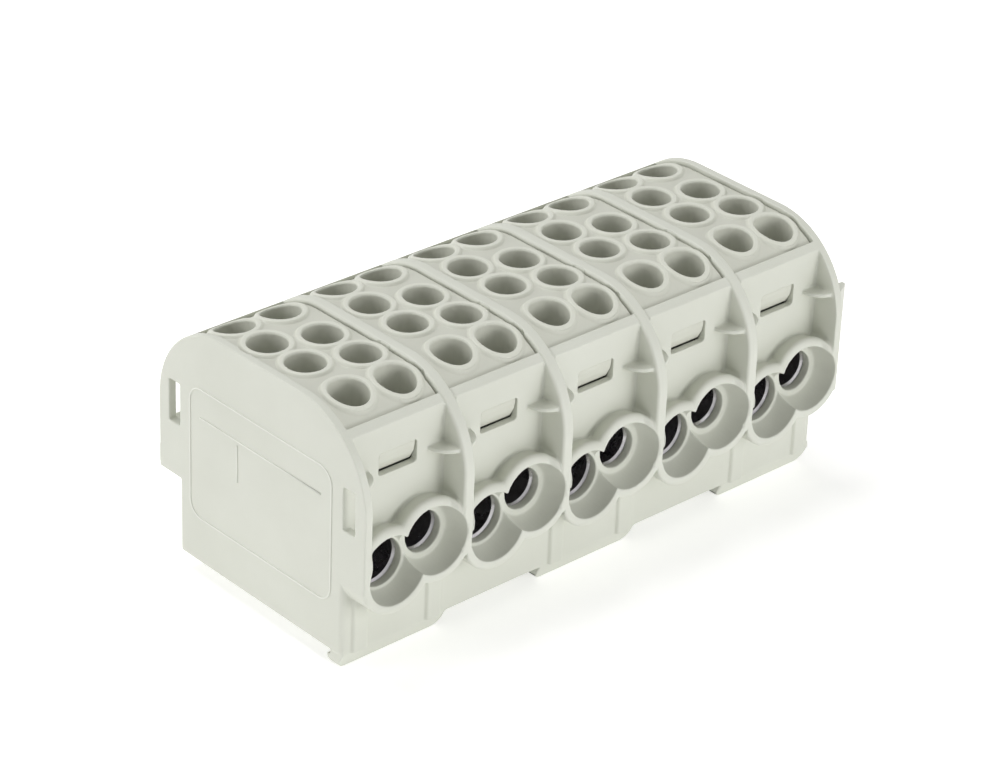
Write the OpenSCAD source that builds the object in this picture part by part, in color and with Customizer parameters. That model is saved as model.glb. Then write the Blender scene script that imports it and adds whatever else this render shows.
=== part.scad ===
// Power distribution block with five poles, for a 35 mm mounting rail.
// Sizes in mm. +Z is up, +X runs along the row of poles, -Y is the front.
// Origin: middle of the housing's length and depth, in the plane that lies on the rail.
$fn = 64;

/* [Housing] */
// spacing of the poles along X
pole_pitch = 21; // [20.4:0.1:23]
// thickness of the partition between two poles
partition_t = 2.2; // [1.6:0.1:2.6]
// thickness of each end wall
end_wall_t = 1.5; // [1.2:0.1:3]
// half of the depth over the partitions and collars
flange_half_depth = 25.9; // [25:0.1:30]
// height of the partitions above the rail plane
body_h = 43; // [42:0.1:48]
// radius of the partitions' top shoulders
shoulder_r = 16; // [14:0.5:17]
// half of the depth over the front and rear walls of a pole
wall_half_depth = 20.55; // [20:0.05:21.5]
// thickness of the front and rear walls
wall_t = 1.35; // [1:0.05:1.6]
// thickness left in these walls in front of the connector blocks
pocket_t = 0.5; // [0.4:0.05:0.8]
// half of the depth over the base
base_half_depth = 20.8; // [20.6:0.1:22]
// height at which the base passes into the partitions
base_h = 14; // [12:0.5:15]
// rounding of the base's upright corners
base_corner_r = 1; // [0.5:0.1:1.5]
// thickness of the floor
floor_t = 2; // [1.5:0.1:3]

/* [Wire entries] */
// radius of the large wire bore in the connector
big_wire_r = 4.15; // [3.6:0.05:4.2]
// radius of the small wire bore in the connector
small_wire_r = 3.55; // [3:0.05:3.7]
// how much wider the housing's holes are, on the radius
entry_clear = 0.05; // [0:0.05:0.15]
// large bore's offset from the middle of the pole
big_line_x = 4; // [3.9:0.05:4.4]
// small bore's offset from the middle of the pole
small_line_x = 4.7; // [4.5:0.05:4.9]
// height of the large bore's axis
big_wire_z = 15.2; // [14.8:0.1:15.8]
// height of the small bore's axis
small_wire_z = 17.5; // [17.2:0.1:18.2]
// outer radius of both collars
collar_r = 7.1; // [6.9:0.1:7.4]
// radius of both funnels at the collar's face
funnel_r = 5.62; // [5.2:0.05:5.8]
// radius at the bottom of the funnels
funnel_floor_r = 4.6; // [4.4:0.05:5]
// depth of the funnels
funnel_depth = 4.2; // [2:0.1:4.4]
// rounding of the collar's upper rim
collar_round = 1.9; // [1:0.1:2.4]

/* [Covers] */
// radius of the driver holes
driver_r = 3.35; // [3:0.05:3.5]
// how far the beads round the holes stand up
bead_h = 0.5; // [0.2:0.05:0.6]
// radius of the flat top of the beads
bead_r = 4.25; // [4:0.05:4.4]
// radius at the foot of the beads
bead_foot_r = 4.75; // [4.5:0.05:4.8]
// how far the cover's top lies under the partitions' top
cover_drop = 0.7; // [0.5:0.1:1.2]
// thickness of the cover
cover_t = 1.8; // [1.4:0.1:2.2]
// gap between the cover and the housing
cover_gap = 0.25; // [0.2:0.05:0.4]
// half of the cover's depth, out to its seam
cover_half_depth = 19.2; // [19:0.1:19.6]
// wall of the guide tubes under the driver holes
tube_wall = 0.8; // [0.6:0.05:0.9]

/* [Latches] */
// width of the latch windows
window_w = 7.8; // [6:0.1:9]
// lower edge of the latch windows
window_z = 30.2; // [29.5:0.1:31]
// height of the latch windows
window_h = 4; // [3.4:0.1:4.2]
// rounding of the windows' corners
window_r = 0.6; // [0.4:0.1:1]
// gap beside and below the latch nose in its window
latch_gap = 0.2; // [0.15:0.05:0.6]

/* [Ledges] */
// radius of the quarter-round ledges
ledge_r = 4; // [3:0.1:4.6]
// underside of the ledges
ledge_z = 31.4; // [30.5:0.1:33]
// thickness of the ledges
ledge_t = 0.7; // [0.6:0.1:1.4]

/* [Joining slots and hooks] */
// lower end of the slots in the left end wall
slot_z = 23.2; // [23:0.1:25]
// height of the slots
slot_h = 7.7; // [6:0.1:8]
// nearest edge of the slots to the front and rear walls
slot_inner_y = 20.5; // [20.4:0.1:21]
// width of the slots
slot_w = 2.8; // [2.4:0.1:3.2]
// how far the hook tabs reach out from the right end wall
hook_reach = 5; // [4:0.1:6]
// gap of the hooks in the slots of a next block, per side
hook_play = 0.15; // [0.1:0.05:0.3]

/* [Rail feet] */
// width of the mounting rail
rail_w = 35; // [35:1:35]
// thickness of the rail's lips
rail_lip_t = 1; // [1:0.1:1.2]
// play of the rail between the feet, per side
rail_play = 0.15; // [0.1:0.05:0.3]
// height of the feet under the rail plane
foot_h = 3.2; // [2.8:0.1:4]
// how far the feet's hooks reach under the rail
foot_hook = 0.8; // [0.5:0.1:1.2]
// half depth over the bottom of the feet
foot_toe_y = 19.2; // [18.9:0.1:20]

/* [Connectors] */
// play between the connector block and the partitions, per side
connector_side_play = 0.35; // [0.3:0.05:0.5]
// play between the connector block and its pocket in the walls, per end
connector_end_play = 0.1; // [0.1:0.05:0.3]
// underside of the connector block
connector_z = 8.4; // [8:0.1:9.4]
// height of the connector block
connector_h = 18; // [17:0.1:18.5]
// metal left between two bores that meet end to end
bore_web = 1.2; // [1:0.1:1.4]
// large screws' first distance from the middle of the depth
big_screw_y1 = 2.75; // [2.7:0.05:3]
// large screws' second distance from the middle of the depth
big_screw_y2 = 13.2; // [12.8:0.05:13.3]
// small screws' first distance from the middle of the depth
small_screw_y1 = 5.8; // [5.6:0.05:6]
// small screws' second distance from the middle of the depth
small_screw_y2 = 14.1; // [13.8:0.05:14.2]

/* [Clamp screws] */
// thread radius of the large screws
big_screw_r = 4; // [3.5:0.5:4]
// thread radius of the small screws
small_screw_r = 3; // [2.5:0.5:3]
// running gap between a screw and its threaded hole
screw_run = 0.06; // [0.05:0.01:0.09]
// length of the large screws
big_screw_len = 10; // [9:0.5:10]
// length of the small screws
small_screw_len = 8.5; // [8:0.5:8.5]
// width across flats of the large screws' sockets
big_socket = 4; // [4:1:5]
// width across flats of the small screws' sockets
small_socket = 3; // [3:0.5:3]
// how far a raised screw's tip stays above its wire bore
screw_lift = 0.3; // [0.2:0.1:0.5]

/* [Hidden] */
pole_count = 5;
cell_w = pole_pitch - partition_t;
half_len = ((pole_count - 1) * pole_pitch + cell_w) / 2 + end_wall_t;
shoulder_y = flange_half_depth - shoulder_r;
shoulder_z = body_h - shoulder_r;
cover_len = cell_w - 2 * cover_gap;
connector_w = cell_w - 2 * connector_side_play;
cover_top = body_h - cover_drop;
cover_r = shoulder_r - cover_drop;
inner_half_depth = wall_half_depth - wall_t;
pocket_half_depth = wall_half_depth - pocket_t;
connector_half_depth = pocket_half_depth - connector_end_play;
connector_top = connector_z + connector_h;
big_tip_z = big_wire_z + big_wire_r + screw_lift;
small_tip_z = small_wire_z + small_wire_r + screw_lift;
big_head_z = big_tip_z + big_screw_len;
small_head_z = small_tip_z + small_screw_len;
tube_end_z = max(big_head_z, small_head_z) + 0.5;
tube_r = driver_r + tube_wall;

far = 200;
collar_edge_r = 0.5;
seam_gap = 0.08;
pocket_play = 0.2;
ledge_inset = 0.7;
web_w = 1.2;
pilaster_y = base_half_depth + 0.5;
pilaster_w = 3.1;
pilaster_inset = 1.5;
pilaster_r = 0.45;
foot_corner_r = 1.8;
line_w = 0.35;
line_h = 0.15;
panel_y = 17.9;
panel_z0 = 8.2;
panel_z1 = 32.6;
panel_r = 3;
rule_y = 15.1;
rule_z = 27;
divider_y = 5.45;
divider_z = 19.6;
rib_x = 6;
rib_t = 1.2;
latch_t = 1.3;
nose_reach = 1.2;
nose_land = 0.8;
bore_chamfer = 0.5;
big_bore_end = big_screw_r + screw_run - big_screw_y1 + 0.2;
big_tip_r = 2.6;
small_tip_r = 1.9;

big_ys = [-big_screw_y2, -big_screw_y1];
small_ys = [-small_screw_y2, -small_screw_y1];

numbers = [for (k = [1 : pole_count]) k];
places = ["front_outer", "front_inner", "rear_inner", "rear_outer"];

function pole_x(k) = (k - (pole_count + 1) / 2) * pole_pitch;

// turns what it holds half a turn about the pole's upright middle line as well
module both_faces() {
    children();
    rotate([0, 0, 180]) children();
}

// the same at the front and the rear, mirrored
module front_and_rear() {
    children();
    mirror([0, 1, 0]) children();
}

module each_pole() {
    for (k = numbers) translate([pole_x(k), 0, 0]) children();
}

// lays a section drawn in Y and Z along X, from x0 on
module along_x(x0, len) {
    translate([x0, 0, 0]) rotate([90, 0, 90]) linear_extrude(len) children();
}

// the block's arched section, drawn in by d and reaching down to z0
module arch(d, z0) {
    r = shoulder_r - d;
    y = flange_half_depth - d;
    intersection() {
        union() {
            translate([-y, z0 - 1]) square([2 * y, shoulder_z - z0 + 1]);
            translate([-shoulder_y, z0 - 1]) square([2 * shoulder_y, shoulder_z - z0 + 1 + r]);
            for (s = [-1, 1]) translate([s * shoulder_y, shoulder_z]) circle(r, $fn = 96);
        }
        translate([-far / 2, z0]) square([far, far]);
    }
}

module rounded_box_2d(w, h, r) {
    translate([-w / 2 + r, -h / 2]) square([w - 2 * r, h]);
    translate([-w / 2, -h / 2 + r]) square([w, h - 2 * r]);
    for (sx = [-1, 1]) for (sy = [-1, 1])
        translate([sx * (w / 2 - r), sy * (h / 2 - r)]) circle(r);
}

// a hole or post standing upright at every driver hole of a cover
module at_driver_holes() {
    both_faces() {
        for (y = big_ys) translate([-big_line_x, y, 0]) children();
        for (y = small_ys) translate([small_line_x, y, 0]) children();
    }
}

// upright web between the two small holes of a face, so that their rims always join
module small_hole_web(z, h) {
    both_faces() translate([small_line_x - web_w / 2, -small_screw_y2, z])
        cube([web_w, small_screw_y2 - small_screw_y1, h]);
}

// lays what it holds along Y at both wire entries of one face, from y on inwards
module at_big_entry(y) {
    translate([-big_line_x, y, big_wire_z]) rotate([-90, 0, 0]) children();
}

module at_small_entry(y) {
    translate([small_line_x, y, small_wire_z]) rotate([-90, 0, 0]) children();
}

// quarter of the collar's outline turned about the entry's axis, face at the bottom
module half_collar(from, edge_r) {
    depth = flange_half_depth - wall_half_depth + 0.4;
    rotate([0, 0, from]) rotate_extrude(angle = 180, $fn = 64) union() {
        square([collar_r - edge_r, depth]);
        translate([0, edge_r]) square([collar_r, depth - edge_r]);
        translate([collar_r - edge_r, edge_r]) circle(edge_r, $fn = 48);
    }
}

module collar() {
    half_collar(180, collar_round);
    half_collar(0, collar_edge_r);
}

// the funnel's round-bellied hollow, its mouth at z = 0
module funnel() {
    step = funnel_r - funnel_floor_r;
    belly = (step * step + funnel_depth * funnel_depth) / (2 * step);
    rotate_extrude($fn = 64) intersection() {
        translate([funnel_r - belly, 0]) circle(belly, $fn = 128);
        square([funnel_r, funnel_depth]);
    }
    translate([0, 0, -1]) cylinder(r = funnel_r, h = 1.001);
}

module entry_cuts() {
    y = -flange_half_depth;
    at_big_entry(y) funnel();
    at_small_entry(y) funnel();
    deep = flange_half_depth - inner_half_depth + 1;
    at_big_entry(y) cylinder(r = big_wire_r + entry_clear, h = deep);
    at_small_entry(y) cylinder(r = small_wire_r + entry_clear, h = deep);
}

module ledges() {
    for (s = [-1, 1]) intersection() {
        translate([s * (cell_w / 2 + ledge_inset), -wall_half_depth, ledge_z])
            cylinder(r = ledge_r, h = ledge_t);
        translate([-cell_w / 2 - 0.2, -flange_half_depth, ledge_z - 1])
            cube([cell_w + 0.4, flange_half_depth - wall_half_depth + 0.2, ledge_t + 2]);
    }
}

module window_cut() {
    translate([0, -wall_half_depth - 1, window_z + window_h / 2]) rotate([-90, 0, 0])
        linear_extrude(wall_t + 2) rounded_box_2d(window_w, window_h, window_r);
}

// front and rear walls of a pole: the arch cut off at the wall planes, less the inside
module pole_walls() {
    along_x(-cell_w / 2 - 0.2, cell_w + 0.4) difference() {
        intersection() {
            arch(0, base_h - 1);
            translate([-wall_half_depth, 0]) square([2 * wall_half_depth, body_h]);
        }
        translate([-inner_half_depth, 0]) square([2 * inner_half_depth, body_h + 1]);
    }
}

// notches in the partitions where the beads of the outer holes reach past the cover
module bead_notches() {
    both_faces() for (y = small_ys)
        translate([small_line_x, y, cover_top - cover_t - cover_gap])
            cylinder(r = bead_foot_r + cover_gap, h = shoulder_r);
}

// plan of the pilasters and the sunk panel over a foot, seen from below
module foot_relief() {
    reach = pilaster_y - base_half_depth + 1;
    inset = pole_pitch / 2 - pilaster_inset;
    for (x = [-inset, inset + 0.4 - pilaster_w]) translate([x, -pilaster_y, 0])
        linear_extrude(base_h - 1) union() {
            translate([pilaster_r, 0]) square([pilaster_w - 2 * pilaster_r, reach]);
            translate([0, pilaster_r]) square([pilaster_w, reach - pilaster_r]);
            for (cx = [pilaster_r, pilaster_w - pilaster_r])
                translate([cx, pilaster_r]) circle(pilaster_r);
        }
}

module foot() {
    half_rail = rail_w / 2 + rail_play;
    len = pole_pitch + 0.4;
    lip_z = -rail_lip_t - rail_play;
    intersection() {
        translate([-len / 2, 0, 0]) mirror([0, 1, 0]) rotate([90, 0, 90]) linear_extrude(len)
            polygon([
                [half_rail, 1], [base_half_depth, 1], [base_half_depth, 0],
                [foot_toe_y, -foot_h], [half_rail, -foot_h],
                [half_rail - foot_hook, lip_z - 0.8], [half_rail - foot_hook, lip_z],
                [half_rail, lip_z]
            ]);
        rotate([90, 0, 0]) translate([0, 0, -far]) linear_extrude(2 * far) union() {
            translate([-len / 2, -foot_h + foot_corner_r]) square([len, foot_h + 1]);
            translate([-len / 2 + foot_corner_r, -foot_h]) square([len - 2 * foot_corner_r, foot_h]);
            for (s = [-1, 1])
                translate([s * (len / 2 - foot_corner_r), -foot_h + foot_corner_r]) circle(foot_corner_r);
        }
    }
}

// the base as a box with rounded upright corners
module base_block() {
    linear_extrude(base_h) rounded_box_2d(2 * half_len, 2 * base_half_depth, base_corner_r);
}

module end_wall_slots() {
    front_and_rear() translate([-half_len - 1, -slot_inner_y - slot_w, slot_z])
        cube([end_wall_t + 2, slot_w, slot_h]);
}

// a hook that snaps into the slot of a next block
module hook_tab() {
    y0 = slot_inner_y + hook_play;
    y1 = slot_inner_y + slot_w - hook_play;
    shank = y0 + (y1 - y0) * 0.62;
    catch_x = end_wall_t + 0.25;
    tip_y = y0 + (y1 - y0) * 0.35;
    z0 = slot_z + hook_play;
    z1 = slot_z + slot_h - hook_play;
    intersection() {
        translate([half_len, 0, 0]) mirror([0, 1, 0]) linear_extrude(body_h) polygon([
            [-0.5, y0], [-0.5, shank], [catch_x, shank], [catch_x, y1],
            [catch_x + 0.5, y1], [hook_reach, tip_y], [hook_reach, y0]
        ]);
        translate([half_len, 0, 0]) rotate([90, 0, 0]) linear_extrude(flange_half_depth)
            polygon([
                [-0.5, z0], [1.5, z0], [hook_reach, z0 + 1], [hook_reach, z1], [-0.5, z1]
            ]);
    }
}

// thin raised frame and two rules on the left end face
module end_label_frame() {
    x = -half_len - line_h;
    translate([x, 0, (panel_z0 + panel_z1) / 2]) rotate([90, 0, 90]) linear_extrude(line_h + 0.2)
        difference() {
            rounded_box_2d(2 * panel_y, panel_z1 - panel_z0, panel_r);
            rounded_box_2d(2 * panel_y - 2 * line_w, panel_z1 - panel_z0 - 2 * line_w,
                panel_r - line_w);
        }
    translate([x, -rule_y, rule_z]) cube([line_h + 0.2, 2 * rule_y, line_w]);
    translate([x, divider_y, divider_z]) cube([line_h + 0.2, line_w, rule_z - divider_z - 0.7]);
}

module housing() {
    color([0.84, 0.845, 0.81]) {
        difference() {
            union() {
                base_block();
                along_x(-half_len, end_wall_t) arch(0, base_h - 0.5);
                along_x(half_len - end_wall_t, end_wall_t) arch(0, base_h - 0.5);
                for (k = [1 : pole_count - 1])
                    along_x(pole_x(k) + cell_w / 2, partition_t) arch(0, base_h - 0.5);
                each_pole() pole_walls();
                each_pole() both_faces() {
                    at_big_entry(-flange_half_depth) collar();
                    at_small_entry(-flange_half_depth) collar();
                }
                each_pole() both_faces() ledges();
                for (k = numbers) translate([pole_x(k), 0, 0]) mirror([0, 1 - k % 2, 0]) {
                    foot_relief();
                    foot();
                }
                end_label_frame();
            }
            each_pole() translate([-cell_w / 2, -inner_half_depth, floor_t])
                cube([cell_w, 2 * inner_half_depth, body_h]);
            each_pole() translate([-cell_w / 2, -pocket_half_depth, floor_t])
                cube([cell_w, 2 * pocket_half_depth, connector_top + pocket_play - floor_t]);
            each_pole() both_faces() entry_cuts();
            each_pole() both_faces() window_cut();
            each_pole() bead_notches();
            end_wall_slots();
            for (s = [-1, 1]) translate([s * (half_len + far / 2), 0, 0])
                cube([far - 2 * (s < 0 ? line_h : 0), far, far], center = true);
        }
        each_pole() for (s = [-1, 1])
            translate([s * rib_x - rib_t / 2, -pocket_half_depth - 0.2, floor_t - 0.2])
                cube([rib_t, 2 * pocket_half_depth + 0.4, connector_z - floor_t + 0.2]);
        front_and_rear() hook_tab();
    }
}

// the beads: the cover's section raised and cut out by upright posts
module beads() {
    for (step = [[bead_foot_r, bead_h * 0.4], [bead_r, bead_h]]) intersection() {
        along_x(-pole_pitch / 2, pole_pitch) difference() {
            arch(cover_drop - step[1], shoulder_z);
            arch(cover_drop + cover_t, shoulder_z - 1);
        }
        union() {
            at_driver_holes() translate([0, 0, shoulder_z]) cylinder(r = step[0], h = shoulder_r);
            small_hole_web(shoulder_z, shoulder_r);
        }
        translate([-pole_pitch / 2, -cover_half_depth, shoulder_z])
            cube([pole_pitch, 2 * cover_half_depth, shoulder_r]);
    }
}

// the arm under the cover's edge with the nose that shows in the window
module latch() {
    y_in = inner_half_depth - latch_t - 0.1;
    y_out = inner_half_depth - 0.1;
    w = window_w - 2 * latch_gap;
    nose_top = window_z + window_h - 0.12;
    nose_low = window_z + latch_gap;
    translate([-w / 2, 0, 0]) mirror([0, 1, 0]) rotate([90, 0, 90]) linear_extrude(w) {
        translate([y_in, nose_low]) square([latch_t, cover_top - 3.5 - nose_low]);
        polygon([
            [y_out - 0.2, nose_top], [y_out + nose_reach, nose_top],
            [y_out + nose_reach, nose_top - nose_land],
            [y_out + nose_reach * 0.8, nose_top - nose_land - nose_reach],
            [y_out + 0.1, nose_low], [y_out - 0.2, nose_low]
        ]);
    }
}

module cover() {
    color([0.8, 0.8, 0.77]) difference() {
        union() {
            along_x(-cover_len / 2, cover_len) difference() {
                intersection() {
                    arch(cover_drop, shoulder_z);
                    translate([-cover_half_depth + seam_gap, shoulder_z])
                        square([2 * (cover_half_depth - seam_gap), shoulder_r]);
                }
                arch(cover_drop + cover_t, shoulder_z - 1);
            }
            beads();
            intersection() {
                along_x(-cover_len / 2, cover_len) intersection() {
                    arch(cover_drop + 0.2, tube_end_z);
                    translate([-inner_half_depth + 0.1, tube_end_z])
                        square([2 * inner_half_depth - 0.2, shoulder_r]);
                }
                union() {
                    at_driver_holes() translate([0, 0, tube_end_z])
                        cylinder(r = tube_r, h = body_h);
                    small_hole_web(tube_end_z, body_h);
                }
            }
            both_faces() latch();
        }
        at_driver_holes() translate([0, 0, tube_end_z - 1]) cylinder(r = driver_r, h = body_h);
    }
}

module connector() {
    color([0.78, 0.76, 0.72]) difference() {
        translate([-connector_w / 2, -connector_half_depth, connector_z])
            cube([connector_w, 2 * connector_half_depth, connector_h]);
        both_faces() {
            at_big_entry(-connector_half_depth - 1)
                cylinder(r = big_wire_r, h = connector_half_depth + 1 + big_bore_end);
            at_small_entry(-connector_half_depth - 1)
                cylinder(r = small_wire_r,
                    h = connector_half_depth + 1 - big_bore_end - bore_web);
            at_big_entry(-connector_half_depth - 0.001)
                cylinder(r1 = big_wire_r + bore_chamfer, r2 = big_wire_r, h = bore_chamfer);
            at_small_entry(-connector_half_depth - 0.001)
                cylinder(r1 = small_wire_r + bore_chamfer, r2 = small_wire_r, h = bore_chamfer);
            for (y = big_ys) translate([-big_line_x, y, big_wire_z])
                cylinder(r = big_screw_r + screw_run, h = connector_h);
            for (y = small_ys) translate([small_line_x, y, small_wire_z])
                cylinder(r = small_screw_r + screw_run, h = connector_h);
        }
    }
}

// a set screw with a bevelled tip and a hexagon socket, its tip at z = 0
module set_screw(r, len, tip_r, across) {
    tip = r - tip_r;
    color([0.62, 0.62, 0.64]) difference() {
        union() {
            cylinder(r1 = tip_r, r2 = r, h = tip);
            translate([0, 0, tip]) cylinder(r = r, h = len - tip - 0.4);
            translate([0, 0, len - 0.4]) cylinder(r1 = r, r2 = r - 0.4, h = 0.4);
        }
        translate([0, 0, len * 0.5]) cylinder(r = across / sqrt(3), h = len, $fn = 6);
    }
}

// places a screw of a pole by its number, 0 and 1 in front, 2 and 3 behind
module place_screw(k, x, ys, i) {
    translate([pole_x(k), 0, 0]) rotate([0, 0, i < 2 ? 0 : 180])
        translate([x, ys[i < 2 ? i : 3 - i], 0]) children();
}

housing();
for (k = numbers) {
    translate([pole_x(k), 0, 0]) cover();
    translate([pole_x(k), 0, 0]) connector();
    for (i = [0 : 3]) {
        place_screw(k, -big_line_x, big_ys, i) translate([0, 0, big_tip_z])
                set_screw(big_screw_r, big_screw_len, big_tip_r, big_socket);
        place_screw(k, small_line_x, small_ys, i) translate([0, 0, small_tip_z])
                set_screw(small_screw_r, small_screw_len, small_tip_r, small_socket);
    }
}
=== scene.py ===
import bpy, bmesh, math
import numpy as np
from mathutils import Matrix, Vector


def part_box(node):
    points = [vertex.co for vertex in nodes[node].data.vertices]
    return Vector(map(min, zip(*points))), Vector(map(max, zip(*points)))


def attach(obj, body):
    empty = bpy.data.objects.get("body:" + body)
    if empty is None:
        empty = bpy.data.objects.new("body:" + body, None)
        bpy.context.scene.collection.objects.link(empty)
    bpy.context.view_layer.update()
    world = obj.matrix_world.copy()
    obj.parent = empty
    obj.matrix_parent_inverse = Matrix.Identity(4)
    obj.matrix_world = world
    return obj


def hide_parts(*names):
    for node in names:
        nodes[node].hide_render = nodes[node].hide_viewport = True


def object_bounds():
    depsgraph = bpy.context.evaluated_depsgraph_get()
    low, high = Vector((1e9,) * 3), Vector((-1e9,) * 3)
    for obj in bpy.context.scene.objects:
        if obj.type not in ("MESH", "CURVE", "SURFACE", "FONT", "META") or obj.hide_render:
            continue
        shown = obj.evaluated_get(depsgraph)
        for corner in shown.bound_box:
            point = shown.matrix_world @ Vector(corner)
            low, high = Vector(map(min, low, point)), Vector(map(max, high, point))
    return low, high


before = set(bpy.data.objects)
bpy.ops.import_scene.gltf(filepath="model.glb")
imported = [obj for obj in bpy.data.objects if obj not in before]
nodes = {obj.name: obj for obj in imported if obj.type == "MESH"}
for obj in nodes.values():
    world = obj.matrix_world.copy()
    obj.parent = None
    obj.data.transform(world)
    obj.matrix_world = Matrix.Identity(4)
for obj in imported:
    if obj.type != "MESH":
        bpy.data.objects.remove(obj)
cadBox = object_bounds()
scene = bpy.context.scene
mm = 0.001
print("frame loaded", len(nodes), "nodes", flush=True)

cameraSettings = {
    "place": (-358.96, -381.49, 313.82),  # mm, in the part's own frame
    "azimuth": 43.11, "elevation": 29.15, "roll": 2.34,  # degrees
    "lens": 129.7, "sensor": 36, "near": 0.01,
}

def makeCamera(s):
    az, el, roll = (math.radians(s[k]) for k in ("azimuth", "elevation", "roll"))
    ahead = Vector((math.sin(az) * math.cos(el), math.cos(az) * math.cos(el), -math.sin(el)))
    right = Vector((math.cos(az), -math.sin(az), 0))
    up = right.cross(ahead)
    r2 = math.cos(roll) * right + math.sin(roll) * up
    u2 = math.cos(roll) * up - math.sin(roll) * right
    cam = bpy.data.cameras.new("studioCamera")
    cam.sensor_width = s["sensor"]
    cam.lens = s["lens"]
    cam.clip_start = s["near"]
    ob = bpy.data.objects.new("studioCamera", cam)
    scene.collection.objects.link(ob)
    turn = Matrix((r2, u2, -ahead)).transposed().to_4x4()
    ob.matrix_world = Matrix.Translation(Vector(s["place"]) * mm) @ turn
    scene.camera = ob

makeCamera(cameraSettings)

lightSettings = {
    "roomColor": (1.0, 0.995, 0.98, 1), "roomStrength": 0.32,  # what lights the object
    "paperColor": (1, 1, 1, 1), "paperStrength": 1,  # what is seen and mirrored behind it
    "lamps": [  # name, place in metres, size, watts
        ("leftSoft", (-0.88, 0.34, 0.34), 0.45, 2.95),
        ("frontSoft", (0.34, -0.90, 0.25), 0.50, 2.4),
        ("frontLow", (0.15, -0.95, 0.03), 0.35, 2.7),
        ("topSoft", (-0.10, 0.40, 0.95), 0.45, 4.75),
    ],
    "aim": (0, 0, 0.02),
}

def makeLights(s):
    world = bpy.data.worlds.new("softRoom")
    scene.world = world
    world.use_nodes = True
    tree = world.node_tree
    tree.nodes.clear()
    link = tree.links.new
    out = tree.nodes.new("ShaderNodeOutputWorld")
    mix = tree.nodes.new("ShaderNodeMixShader")
    for i, name in ((1, "room"), (2, "paper")):
        back = tree.nodes.new("ShaderNodeBackground")
        back.inputs["Color"].default_value = s[name + "Color"]
        back.inputs["Strength"].default_value = s[name + "Strength"]
        link(back.outputs[0], mix.inputs[i])
    path = tree.nodes.new("ShaderNodeLightPath")
    total = path.outputs["Is Camera Ray"]
    for name in ("Is Glossy Ray", "Is Transmission Ray"):
        add = tree.nodes.new("ShaderNodeMath")
        add.operation = "ADD"
        add.use_clamp = True
        link(total, add.inputs[0])
        link(path.outputs[name], add.inputs[1])
        total = add.outputs[0]
    link(total, mix.inputs[0])
    link(mix.outputs[0], out.inputs["Surface"])
    for name, place, size, watts in s["lamps"]:
        lamp = bpy.data.lights.new(name, "AREA")
        lamp.size = size
        lamp.energy = watts
        ob = bpy.data.objects.new(name, lamp)
        scene.collection.objects.link(ob)
        ob.location = place
        ahead = Vector(s["aim"]) - Vector(place)
        ob.rotation_euler = ahead.to_track_quat("-Z", "Y").to_euler()

makeLights(lightSettings)
scene.view_settings.view_transform = "Standard"
print("camera and light made", flush=True)

def addNode(tree, kind, values=None, **settings):
    node = tree.nodes.new(kind)
    for key, value in settings.items():
        setattr(node, key, value)
    for key, value in (values or {}).items():
        node.inputs[key].default_value = value
    return node

def newEffect(name, values):  # a node group with one input for each value
    tree = bpy.data.node_groups.new(name, "ShaderNodeTree")
    for label, value in values.items():
        kind = "NodeSocketColor" if isinstance(value, tuple) else "NodeSocketFloat"
        sock = tree.interface.new_socket(name=label, in_out="INPUT", socket_type=kind)
        sock.default_value = value
    for label, kind in (("Color", "Color"), ("Roughness", "Float"), ("Height", "Float")):
        tree.interface.new_socket(name=label, in_out="OUTPUT", socket_type="NodeSocket" + kind)
    return tree, tree.nodes.new("NodeGroupInput"), tree.nodes.new("NodeGroupOutput")

def shadeBy(tree, gin, gout, mask, roughEnds):  # colour and roughness follow the mask
    ends = (("Color", "RGBA", ("Shade Low", "Shade High")), ("Roughness", "FLOAT", roughEnds))
    for label, kind, (low, high) in ends:
        mix = addNode(tree, "ShaderNodeMix", data_type=kind)
        tree.links.new(mask, mix.inputs["Factor"])
        tree.links.new(gin.outputs[low], mix.inputs["A"])
        tree.links.new(gin.outputs[high], mix.inputs["B"])
        tree.links.new(mix.outputs["Result"], gout.inputs[label])

mouldGrainSettings = {
    "Grain Scale": 4000.0, "Cloud Scale": 60.0, "Rough Low": 0.42, "Rough High": 0.52,
    "Shade Low": (0.6, 0.6, 0.56, 1), "Shade High": (0.66, 0.66, 0.61, 1),
}

def makeMouldGrain(values):  # fine eroded tool texture with soft clouds of shade
    tree, gin, gout = newEffect("mouldGrain", values)
    link = tree.links.new
    coord = addNode(tree, "ShaderNodeTexCoord")
    grain = addNode(tree, "ShaderNodeTexNoise", {"Detail": 3.0, "Roughness": 0.6})
    cloud = addNode(tree, "ShaderNodeTexNoise", {"Detail": 4.0, "Roughness": 0.55})
    link(coord.outputs["Object"], grain.inputs["Vector"])
    link(coord.outputs["Object"], cloud.inputs["Vector"])
    link(gin.outputs["Grain Scale"], grain.inputs["Scale"])
    link(gin.outputs["Cloud Scale"], cloud.inputs["Scale"])
    both = addNode(tree, "ShaderNodeMath", {1: 0.3}, operation="MULTIPLY_ADD")  # a third of grain
    link(grain.outputs["Fac"], both.inputs[0])
    link(cloud.outputs["Fac"], both.inputs[2])
    span = addNode(tree, "ShaderNodeMapRange", {"From Min": 0.45, "From Max": 0.85})
    link(both.outputs[0], span.inputs["Value"])
    shadeBy(tree, gin, gout, span.outputs["Result"], ("Rough Low", "Rough High"))
    link(grain.outputs["Fac"], gout.inputs["Height"])
    return tree

metalMarksSettings = {
    "Line Scale": 900.0, "Stain Scale": 160.0, "Rough Low": 0.16, "Rough High": 0.34,
    "Shade Low": (0.55, 0.54, 0.52, 1), "Shade High": (0.8, 0.79, 0.77, 1),
}

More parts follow.
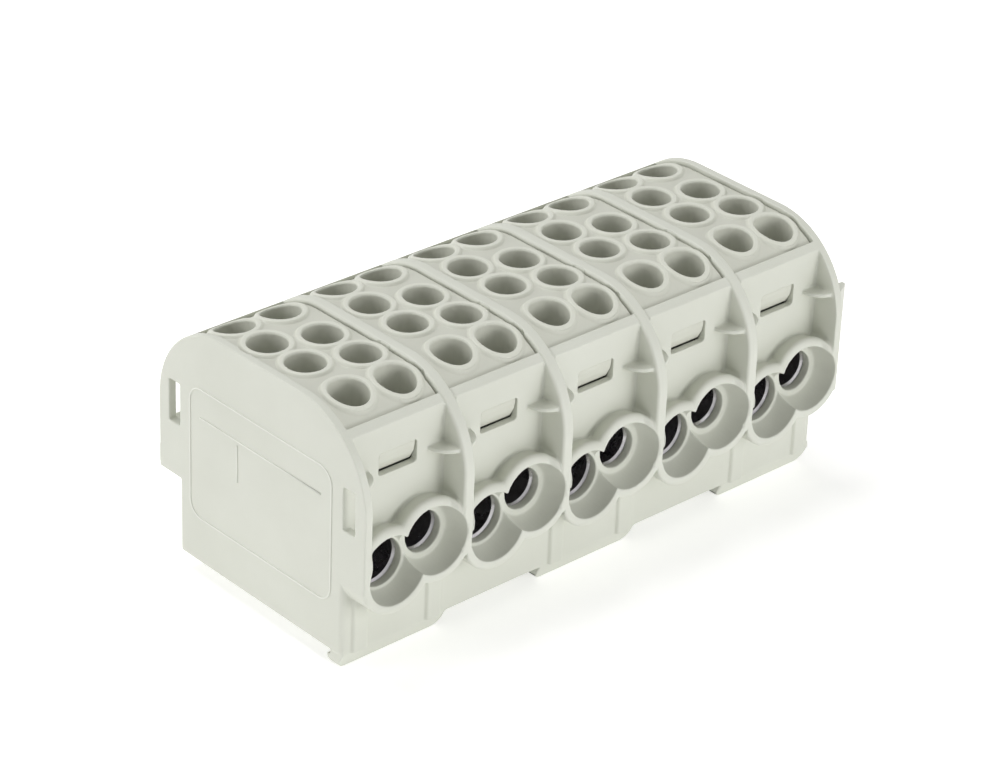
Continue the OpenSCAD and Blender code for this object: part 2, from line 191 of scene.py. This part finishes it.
def makeMetalMarks(values):  # drawn lines and small stains of a plated or turned metal
    tree, gin, gout = newEffect("metalMarks", values)
    link = tree.links.new
    coord = addNode(tree, "ShaderNodeTexCoord")
    drawn = addNode(tree, "ShaderNodeMapping", {"Scale": (1.0, 0.06, 1.0)})  # lines run along Y
    link(coord.outputs["Object"], drawn.inputs["Vector"])
    lines = addNode(tree, "ShaderNodeTexNoise", {"Detail": 3.0})
    stain = addNode(tree, "ShaderNodeTexNoise", {"Detail": 5.0, "Roughness": 0.65})
    link(drawn.outputs[0], lines.inputs["Vector"])
    link(coord.outputs["Object"], stain.inputs["Vector"])
    link(gin.outputs["Line Scale"], lines.inputs["Scale"])
    link(gin.outputs["Stain Scale"], stain.inputs["Scale"])
    span = addNode(tree, "ShaderNodeMapRange", {"From Min": 0.35, "From Max": 0.65})
    link(stain.outputs["Fac"], span.inputs["Value"])
    shadeBy(tree, gin, gout, span.outputs["Result"], ("Rough High", "Rough Low"))
    link(lines.outputs["Fac"], gout.inputs["Height"])
    return tree

mouldGrain = makeMouldGrain(mouldGrainSettings)
metalMarks = makeMetalMarks(metalMarksSettings)

finishSettings = {
    "housingPlastic": {
        "effect": mouldGrain, "metallic": 0.0, "specular": 0.45, "bump": 0.05, "bumpDepth": 0.00002,
        "paintedHighlight": (0.780, 0.790, 0.730, 1),  # painted highlight, lighter where the label's lines stand up
        "values": {
            "Grain Scale": 5200.0, "Cloud Scale": 55.0, "Rough Low": 0.40, "Rough High": 0.50,
            "Shade Low": (0.650, 0.664, 0.590, 1), "Shade High": (0.690, 0.704, 0.632, 1),
        },
    },
    "coverPlastic": {
        "effect": mouldGrain, "metallic": 0.0, "specular": 0.45, "bump": 0.06, "bumpDepth": 0.00002,
        "paintedHighlight": (0.700, 0.712, 0.630, 1),  # painted highlight, lighter on top of the beads
        "values": {
            "Grain Scale": 4600.0, "Cloud Scale": 70.0, "Rough Low": 0.40, "Rough High": 0.50,
            "Shade Low": (0.610, 0.620, 0.545, 1), "Shade High": (0.650, 0.660, 0.585, 1),
        },
    },
    "platedMetal": {
        "effect": metalMarks, "metallic": 1.0, "specular": 0.5, "bump": 0.12, "bumpDepth": 0.00002,
        "values": {
            "Line Scale": 1500.0, "Stain Scale": 220.0, "Rough Low": 0.22, "Rough High": 0.38,
            "Shade Low": (0.36, 0.35, 0.36, 1), "Shade High": (0.58, 0.57, 0.58, 1),
        },
    },
    "screwSteel": {
        "effect": metalMarks, "metallic": 1.0, "specular": 0.5, "bump": 0.15, "bumpDepth": 0.00002,
        "values": {
            "Line Scale": 2600.0, "Stain Scale": 400.0, "Rough Low": 0.22, "Rough High": 0.38,
            "Shade Low": (0.42, 0.42, 0.43, 1), "Shade High": (0.62, 0.62, 0.63, 1),
        },
    },
}

def makeFinish(name, s):
    mat = bpy.data.materials.new(name)
    mat.use_nodes = True
    tree = mat.node_tree
    tree.nodes.clear()
    link = tree.links.new
    out = addNode(tree, "ShaderNodeOutputMaterial")
    skin = addNode(tree, "ShaderNodeBsdfPrincipled",
        {"Metallic": s["metallic"], "Specular IOR Level": s["specular"]})
    effect = addNode(tree, "ShaderNodeGroup", s["values"], node_tree=s["effect"])
    bump = addNode(tree, "ShaderNodeBump", {"Strength": s["bump"], "Distance": s["bumpDepth"]})
    # painted highlight: the crest attribute mixes a lighter colour into the base colour
    if "paintedHighlight" in s:
        mask = addNode(tree, "ShaderNodeAttribute", attribute_name="crest")
        lift = addNode(tree, "ShaderNodeMix", data_type="RGBA")
        lift.inputs["B"].default_value = s["paintedHighlight"]
        link(mask.outputs["Fac"], lift.inputs["Factor"])
        link(effect.outputs["Color"], lift.inputs["A"])
        link(lift.outputs["Result"], skin.inputs["Base Color"])
    else:
        link(effect.outputs["Color"], skin.inputs["Base Color"])
    link(effect.outputs["Roughness"], skin.inputs["Roughness"])
    link(effect.outputs["Height"], bump.inputs["Height"])
    link(bump.outputs["Normal"], skin.inputs["Normal"])
    link(skin.outputs[0], out.inputs["Surface"])
    mat.diffuse_color = s["values"]["Shade High"]
    return mat

finishes = {name: makeFinish(name, s) for name, s in finishSettings.items()}
print("finishes made", flush=True)

def dress(ob, finish):
    if not ob.material_slots:
        ob.data.materials.append(finishes[finish])
    for place in ob.material_slots:
        place.material = finishes[finish]

finishFor = {  # by the first word of a node's name
    "housing": "housingPlastic", "cover": "coverPlastic", "connector": "platedMetal",
    "large": "screwSteel", "small": "screwSteel",
}

for name, ob in nodes.items():
    dress(ob, finishFor[name.split("_")[0]])
print("nodes dressed", flush=True)

def middleOf(node):  # in mm along X
    low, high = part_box(node)
    return (low[0] / mm + high[0] / mm) / 2

poles = (1, 2, 3, 4, 5)  # from left to right
poleX = {k: middleOf("cover_%d" % k) for k in poles}
pitch = (poleX[poles[-1]] - poleX[poles[0]]) / (len(poles) - 1)

meshSettings = {"weld": 1e-6, "cutPlay": 1e-8, "softFactor": 0.5, "normalWeight": 60}

def cutAt(bm, x, side, cap):  # takes away what lies beyond x mm, on the side given as 1 or -1
    whole = bm.verts[:] + bm.edges[:] + bm.faces[:]
    done = bmesh.ops.bisect_plane(bm, geom=whole, plane_co=(x * mm, 0, 0), plane_no=(side, 0, 0),
        clear_outer=True, dist=meshSettings["cutPlay"])
    if cap:
        edges = [e for e in done["geom_cut"] if isinstance(e, bmesh.types.BMEdge)]
        bmesh.ops.triangle_fill(bm, use_beauty=True, edges=edges)

def cleanCopy(node, cuts=()):  # the node's mesh, welded, cut off and closed at the cuts
    bm = bmesh.new()
    bm.from_mesh(nodes[node].data)
    bmesh.ops.remove_doubles(bm, verts=bm.verts, dist=meshSettings["weld"])
    for x, side in cuts:
        cutAt(bm, x, side, True)
    return bm

def applied(ob):
    seen = ob.evaluated_get(bpy.context.evaluated_depsgraph_get())
    mesh = bpy.data.meshes.new_from_object(seen)
    ob.modifiers.clear()
    ob.data = mesh
    return ob

def addSoft(ob, rounds):
    soft = ob.modifiers.new("soft", "SMOOTH")
    soft.factor = meshSettings["softFactor"]
    soft.iterations = rounds

def moulded(name, bm, s):  # remeshed fine and softened
    mesh = bpy.data.meshes.new(name)
    bm.to_mesh(mesh)
    bm.free()
    ob = bpy.data.objects.new(name, mesh)
    scene.collection.objects.link(ob)
    grid = ob.modifiers.new("grid", "REMESH")
    grid.mode = "VOXEL"
    grid.voxel_size = s["voxel"] * mm
    addSoft(ob, s["soften"])
    return applied(ob)

def thinned(ob, s):
    thin = ob.modifiers.new("thin", "DECIMATE")
    thin.ratio = min(1, s["triangles"] / (2 * len(ob.data.polygons)))
    return applied(ob)

def shaded(ob):
    ob.data.shade_smooth()
    even = ob.modifiers.new("even", "WEIGHTED_NORMAL")
    even.keep_sharp = False
    even.weight = meshSettings["normalWeight"]
    return applied(ob)

def readPoints(mesh, field):  # one row of three for each vertex
    values = np.empty(len(mesh.vertices) * 3)
    mesh.vertices.foreach_get(field, values)
    return values.reshape(-1, 3)

def smoothStep(v, low, high):
    t = np.clip((v - low) / (high - low), 0, 1)
    return t * t * (3 - 2 * t)

coverSettings = {
    "shapeFrom": 3,  # the pole whose cover is shaped and then shown in all five
    "voxel": 0.125, "soften": 4, "triangles": 70000,
    "big": (-4.0, (2.75, 13.2)), "small": (4.7, (5.8, 14.1)),  # X and Ys of one half's driver holes
    "hole": 3.35, "crest": (3.55, 4.12), "foot": 4.68, "height": 0.52,  # the beads' radii and height
    "shoulderY": 9.9, "shoulderZ": 27.0, "shoulderR": 15.3,
    "rim": 0.3, "rimDepth": 0.5, "rimWidth": 0.1,  # the beads' height at the holes, and its zone
    "neck": 0.9, "neckFrom": 4.2, "neckOver": 0.5,  # how softly the beads run together, and where
    "facing": 0.3, "skin": 0.45, "apron": 0.25,  # what counts as the top: slope, depth, spare width
    # the steepest slope counted, then the gain and cut that turn bead height into the painted
    # highlight, then a stand-in far distance
    "steepest": 0.6, "highlightGain": 1.3, "highlightCut": 0.3, "far": 99.0,
}

def archAt(y, s):  # height and slope of the cover's own surface at a distance from its middle
    over = np.clip(np.abs(y) - s["shoulderY"], 0, None)
    height = s["shoulderZ"] + np.sqrt(s["shoulderR"] ** 2 - over ** 2)
    return height, np.sqrt(1 - (over / s["shoulderR"]) ** 2)

def beadHeight(x, y, s):  # rounded rings round all driver holes, running into each other
    outside = np.full_like(x, s["far"])
    nearest = np.full_like(x, s["far"])
    inner, outer = s["crest"]
    for cx, ys in (s["big"], s["small"]):
        for cy in ys:
            for turn in (1, -1):
                r = np.hypot(x - turn * cx, y + turn * cy)
                nearest = np.minimum(nearest, r)
                gap = np.clip(s["neck"] - np.abs(outside - r), 0, None)
                share = np.clip((r - s["neckFrom"]) / s["neckOver"], 0, 1)
                outside = np.minimum(outside, r) - gap * gap / (4 * s["neck"]) * share
    rise = np.clip((nearest - s["hole"]) / (inner - s["hole"]), 0, 1)
    fall = np.clip((s["foot"] - outside) / (s["foot"] - outer), 0, 1)
    rise = s["rim"] + (s["height"] - s["rim"]) * np.sin(rise * math.pi / 2)
    return np.minimum(rise, s["height"] * fall * fall * (3 - 2 * fall)), nearest

def makeCover(s):
    ob = moulded("coverShape", cleanCopy("cover_%d" % s["shapeFrom"]), s)
    mesh = ob.data
    co = readPoints(mesh, "co") / mm
    facing = readPoints(mesh, "normal")[:, 2]
    x, y, z = co[:, 0] - poleX[s["shapeFrom"]], co[:, 1], co[:, 2]
    base, slope = archAt(y, s)
    h = z - base
    bead, r = beadHeight(x, y, s)
    onTop = (facing > s["facing"]) & (h > -s["skin"])
    onTop &= (r > s["hole"] + s["rimWidth"]) & (r < s["foot"] + s["apron"])
    z[onTop] = (base + bead / np.maximum(slope, s["steepest"]))[onTop]
    deep = s["rimDepth"]
    rim = (h > -deep) & (r <= s["hole"] + s["rimWidth"])
    z[rim] = (base - deep + (h + deep) * (s["rim"] + deep) / (s["height"] + deep))[rim]
    co[:, 2] = z
    # painted highlight: the higher the bead, the lighter its colour is painted
    mask = np.clip(bead / s["height"] * s["highlightGain"] - s["highlightCut"], 0, 1)
    crest = mesh.attributes.new("crest", "FLOAT", "POINT")
    crest.data.foreach_set("value", np.where(h > -deep, mask, 0))
    mesh.vertices.foreach_set("co", (co * mm).ravel())
    mesh.update()
    addSoft(ob, 1)
    return shaded(thinned(applied(ob), s))

def placeShared(shape, name, node, shift, finish):
    ob = bpy.data.objects.new(name, shape.data)
    scene.collection.objects.link(ob)
    ob.location = (shift * mm, 0, 0)
    dress(ob, finish)
    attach(ob, "block")
    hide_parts(node)

coverShape = makeCover(coverSettings)
for k in poles:
    shift = poleX[k] - poleX[coverSettings["shapeFrom"]]
    placeShared(coverShape, "cover_%d_moulded" % k, "cover_%d" % k, shift, "coverPlastic")
bpy.data.objects.remove(coverShape)
print("covers made", flush=True)

housingSettings = {
    "shapeFrom": {1: 1, 2: 2, 3: 3, 4: 2, 5: 5},  # poles 2 and 4 are alike
    "voxel": 0.15, "soften": 4, "triangles": 110000, "spare": 1.05, "snap": 0.08,
    "wallY": 20.55, "collarR": 7.1, "reach": 9.7, "faceY": 25.9,
    "entries": ((-4.0, 15.2), (4.7, 17.5)),  # X and Z of the large and the small one, in front
    "fillet": 0.25, "filletSteps": 7, "arc": 0.08,  # foot radius of the collars, and its steps
    "filletIn": 0.6, "filletBack": 0.3, "overlap": 0.25,  # how far it reaches into the solid
    "waist": 0.75, "rimY": 25.4, "waistBack": 0.3,  # how much slimmer the collars are at the wall
    "waistUp": (-1.0, 3.0), "waistIn": (5.9, 6.9), "waistOut": (8.0, 9.6), "waistSide": (8.9, 9.35),
    "setBack": 1.75,  # how far the upper lips lie behind the lower ones
    "lipGain": 1.1, "lipLoss": 0.35,  # its share at the large entry, and how much less at the small one
    "lipUp": (-3.0, 4.5), "lipOut": (7.4, 8.4), "lipSide": (7.6, 9.4), "lipSmall": (2.0, 9.0),
    "archY": 9.9, "archZ": 27.0, "archR": 16.0,  # the partitions' outline
    "ridgeHalf": 1.1, "ridgeR": 0.55, "ridgeFull": 0.98, "ridgeShare": 0.8,  # how round their tops are
    "ridgeSkin": (-0.1, 0.6), "ridgeFoot": 14, "ridgePlay": 0.05,
    "flatHalf": (0.9, 1.05), "flatZ": (25, 27),  # where the ridges are first lifted onto the arch
}

def slimCollars(co, middle, s):  # draws the collars' upper backs in towards the wall
    for turn in (1, -1):
        x, y, z = (co[:, 0] - middle) * turn, co[:, 1] * -turn, co[:, 2]
        depth = smoothStep(s["rimY"] - y, 0, s["rimY"] - s["wallY"])
        away = [np.hypot(x - ex, z - ez) for ex, ez in s["entries"]]
        for i, (ex, ez) in enumerate(s["entries"]):
            r = away[i]
            own = (r <= away[1 - i]) & (y > s["wallY"] - s["waistBack"])
            upper = smoothStep(z - ez, *s["waistUp"])
            width = smoothStep(r, *s["waistIn"]) * (1 - smoothStep(r, *s["waistOut"]))
            width *= 1 - smoothStep(np.abs(x), *s["waistSide"])
            pull = np.where(own, s["waist"] * depth * upper * width / np.maximum(r, 1), 0)
            co[:, 0] -= turn * pull * (x - ex)
            co[:, 2] -= pull * (z - ez)

def setLipsBack(co, middle, s):  # leans the collars' upper lips back towards the wall
    (bigX, bigZ), (smallX, smallZ) = s["entries"]
    for turn in (1, -1):
        x, y, z = (co[:, 0] - middle) * turn, co[:, 1] * -turn, co[:, 2]
        t = np.clip((y - s["wallY"]) / (s["faceY"] - s["wallY"]), 0, 1)
        level = bigZ + (smallZ - bigZ) * np.clip((x - bigX) / (smallX - bigX), 0, 1)
        r = np.minimum(np.hypot(x - bigX, z - bigZ), np.hypot(x - smallX, z - smallZ))
        share = smoothStep(z - level, *s["lipUp"]) * (1 - smoothStep(r, *s["lipOut"]))
        share *= 1 - smoothStep(np.abs(x), *s["lipSide"])
        share *= s["lipGain"] - s["lipLoss"] * smoothStep(x, *s["lipSmall"])
        co[:, 1] += turn * s["setBack"] * t * share

def roundRidges(co, xs, s):  # takes the edges off the partitions' tops
    y, z = co[:, 1], co[:, 2]
    over = np.maximum(np.abs(y) - s["archY"], 0)
    rise = np.maximum(z - s["archZ"], 0)
    reach = np.where(z < s["archZ"], np.abs(y) - s["archY"], np.hypot(over, rise))
    depth = s["archR"] - reach
    above, below = s["ridgeSkin"]
    near = (depth > above) & (depth < below) & (z > s["ridgeFoot"])
    dy = np.where(over > 0, over / np.maximum(reach, 1), 0) * np.sign(y)
    dz = rise / np.maximum(reach, 1)
    for x in xs:
        off = np.abs(co[:, 0] - x)
        top = (1 - smoothStep(off, *s["flatHalf"])) * smoothStep(z, *s["flatZ"])
        lift = np.where(near, depth * top, 0)
        co[:, 1] += lift * dy
        co[:, 2] += lift * dz
        depth = depth - lift
        side = np.clip((off - (s["ridgeHalf"] - s["ridgeR"])) / s["ridgeR"], 0, 1)
        bow = 1 - np.sqrt(1 - np.minimum(side, s["ridgeFull"]) ** 2)
        drop = s["ridgeR"] * bow * s["ridgeShare"]
        inside = near & (off < s["ridgeHalf"] + s["ridgePlay"])
        drop = np.where(inside, drop * (1 - depth / below), 0)
        co[:, 1] -= drop * dy
        co[:, 2] -= drop * dz

def filletRing(s):  # the foot radius as a closed section: radius, and distance from the wall
    ring = []
    for i in range(s["filletSteps"] + 1):
        a = i / s["filletSteps"] * math.pi / 2
        ring.append((s["collarR"] + s["fillet"] * (1 - math.sin(a)), s["fillet"] * (1 - math.cos(a))))
    inner, outer = s["collarR"] - s["filletIn"], s["collarR"] + s["fillet"]
    return ring + [(inner, s["fillet"]), (inner, -s["filletBack"]), (outer, -s["filletBack"])]

def freeAngles(own, other, s):  # the angles where a collar stands clear of its neighbour
    (ex, ez), (nx, nz) = own, other
    rows = []
    angle = 0
    while angle < 2 * math.pi:
        px, pz = ex + s["collarR"] * math.cos(angle), ez + s["collarR"] * math.sin(angle)
        rows.append((angle, math.hypot(px - nx, pz - nz) > s["collarR"] - s["overlap"]))
        angle += s["arc"]
    start = next(i for i, (a, free) in enumerate(rows) if free and not rows[i - 1][1])
    return [a for a, free in rows[start:] + rows[:start] if free]

def addFillets(bm, middle, s):  # soft foot of the collars where they meet the wall, on both faces
    ring = filletRing(s)
    for turn in (1, -1):
        for own, other in (s["entries"], s["entries"][::-1]):
            loops = []
            for a in freeAngles(own, other, s):
                loop = []
                for r, t in ring:
                    px = max(-s["reach"], min(s["reach"], own[0] + r * math.cos(a)))
                    place = (middle + turn * px, turn * -(s["wallY"] + t), own[1] + r * math.sin(a))
                    loop.append(bm.verts.new([v * mm for v in place]))
                loops.append(loop)
            for one, two in zip(loops, loops[1:]):
                for i in range(len(ring)):
                    j = (i + 1) % len(ring)
                    bm.faces.new((one[i], one[j], two[j], two[i]))
            bm.faces.new(loops[0][::-1])
            bm.faces.new(loops[-1])

def makeSegment(name, k, s):  # one pole of the housing, open at its seams with the next poles
    middle = poleX[k]
    seams = []
    if k > poles[0]:
        seams.append((middle - pitch / 2, -1))
    if k < poles[-1]:
        seams.append((middle + pitch / 2, 1))
    bm = cleanCopy("housing", [(x + side * s["spare"], side) for x, side in seams])
    addFillets(bm, middle, s)
    bmesh.ops.recalc_face_normals(bm, faces=bm.faces)
    ob = moulded(name, bm, s)
    co = readPoints(ob.data, "co") / mm
    slimCollars(co, middle, s)
    setLipsBack(co, middle, s)
    if k == poles[0]:
        co[:, 0] = np.maximum(co[:, 0], labelSettings["x"])  # the label's lines are laid on afresh
    roundRidges(co, [x for x, side in seams], s)
    ob.data.vertices.foreach_set("co", (co * mm).ravel())
    thinned(ob, s)
    bm = bmesh.new()
    bm.from_mesh(ob.data)
    for x, side in seams:
        for vert in bm.verts:
            if abs(vert.co.x - x * mm) < s["snap"] * mm:
                vert.co.x = x * mm
        cutAt(bm, x, side, False)
    bmesh.ops.dissolve_degenerate(bm, dist=meshSettings["weld"], edges=bm.edges[:])
    bm.to_mesh(ob.data)
    bm.free()
    return shaded(ob)

labelSettings = {
    "x": -52.9, "rise": 0.15, "half": 0.19,  # mm, the end face and the lines' height and half width
    "frame": (17.73, 8.37, 32.43, 2.83),  # half width, lower and upper edge, corner radius
    "rule": ((-15.1, 27.17), (15.1, 27.17)),
    "divider": ((5.62, 19.6), (5.62, 26.3)),
    # the last value is the share of the lines' height above which their painted highlight lies
    "steps": 8, "cornerSteps": 12, "bulge": 0.7, "sink": 0.1, "highlightFrom": 0.8,
}

def ringPoints(s):  # the frame's middle line, in Y and Z
    half, low, high, r = s["frame"]
    corners = ((half - r, high - r), (r - half, high - r), (r - half, low + r), (half - r, low + r))
    points = []
    for quarter, (cy, cz) in enumerate(corners):
        for i in range(s["cornerSteps"] + 1):
            a = math.radians(90 * quarter + 90 * i / s["cornerSteps"])
            points.append((cy + r * math.cos(a), cz + r * math.sin(a)))
    return points

def addLine(bm, points, closed, s):  # a low rounded rib along a path on the end face
    count = len(points)
    steps = s["steps"]
    loops = []
    for i, (y, z) in enumerate(points):
        back = points[(i - 1) % count] if closed or i else points[i]
        ahead = points[(i + 1) % count] if closed or i < count - 1 else points[i]
        along = Vector((ahead[0] - back[0], ahead[1] - back[1])).normalized()
        loop = []
        for j in range(steps + 1):
            a = math.pi * j / steps
            side = s["half"] * math.cos(a)
            x = s["x"] - s["rise"] * math.sin(a) ** s["bulge"] if 0 < j < steps else s["x"] + s["sink"]
            place = (x, y + along.y * side, z - along.x * side)
            loop.append(bm.verts.new([v * mm for v in place]))
        loops.append(loop)
    pairs = list(zip(loops, loops[1:])) + ([(loops[-1], loops[0])] if closed else [])
    for one, two in pairs:
        for j in range(steps):
            bm.faces.new((one[j], one[j + 1], two[j + 1], two[j]))
    if not closed:
        bm.faces.new(loops[0])
        bm.faces.new(loops[-1][::-1])

def addLabel(ob, s):  # a plain frame and two plain rules on the left end face, their upper parts marked for a painted highlight
    bm = bmesh.new()
    bm.from_mesh(ob.data)
    old = len(bm.faces)
    crest = bm.verts.layers.float.new("crest")
    addLine(bm, ringPoints(s), True, s)
    addLine(bm, s["rule"], False, s)
    addLine(bm, s["divider"], False, s)
    bm.faces.ensure_lookup_table()
    fresh = bm.faces[old:]
    bmesh.ops.recalc_face_normals(bm, faces=fresh)
    for face in fresh:
        face.smooth = True
        for vert in face.verts:
            # marks the lines' upper parts for the painted highlight
            vert[crest] = 1 if vert.co.x < (s["x"] - s["highlightFrom"] * s["rise"]) * mm else 0
    bm.to_mesh(ob.data)
    bm.free()

shapeFrom = housingSettings["shapeFrom"]
segments = {
    k: makeSegment("housingShape_%d" % k, k, housingSettings) for k in poles if shapeFrom[k] == k
}
addLabel(segments[poles[0]], labelSettings)
for k in poles:
    shape = segments[shapeFrom[k]]
    shift = poleX[k] - poleX[shapeFrom[k]]
    placeShared(shape, "housing_pole_%d" % k, "housing", shift, "housingPlastic")
for ob in segments.values():
    bpy.data.objects.remove(ob)
print("housing made", flush=True)

floorSettings = {
    "size": 6.0, "drop": 0.00002,  # metres, side length and gap under the feet
    "color": (0.93, 0.93, 0.925, 1), "roughness": 0.9, "specular": 0.1,
    "glowColor": (1, 1, 1, 1), "glow": 0.26, "seenGlow": 0.2,  # the camera sees both added
}

def makeFloor(s, z):
    mesh = bpy.data.meshes.new("studioFloor")
    h = s["size"] / 2
    mesh.from_pydata([(-h, -h, z), (h, -h, z), (h, h, z), (-h, h, z)], [], [(0, 1, 2, 3)])
    ob = bpy.data.objects.new("studioFloor", mesh)
    scene.collection.objects.link(ob)
    mat = bpy.data.materials.new("paperFloor")
    mat.use_nodes = True
    tree = mat.node_tree
    skin = tree.nodes["Principled BSDF"]
    skin.inputs["Base Color"].default_value = s["color"]
    skin.inputs["Roughness"].default_value = s["roughness"]
    skin.inputs["Specular IOR Level"].default_value = s["specular"]
    path = tree.nodes.new("ShaderNodeLightPath")
    glow = addNode(tree, "ShaderNodeMath", {1: s["seenGlow"], 2: s["glow"]}, operation="MULTIPLY_ADD")
    tree.links.new(path.outputs["Is Camera Ray"], glow.inputs[0])
    skin.inputs["Emission Color"].default_value = s["glowColor"]
    tree.links.new(glow.outputs[0], skin.inputs["Emission Strength"])
    mesh.materials.append(mat)

makeFloor(floorSettings, cadBox[0][2] - floorSettings["drop"])
print("floor made", flush=True)
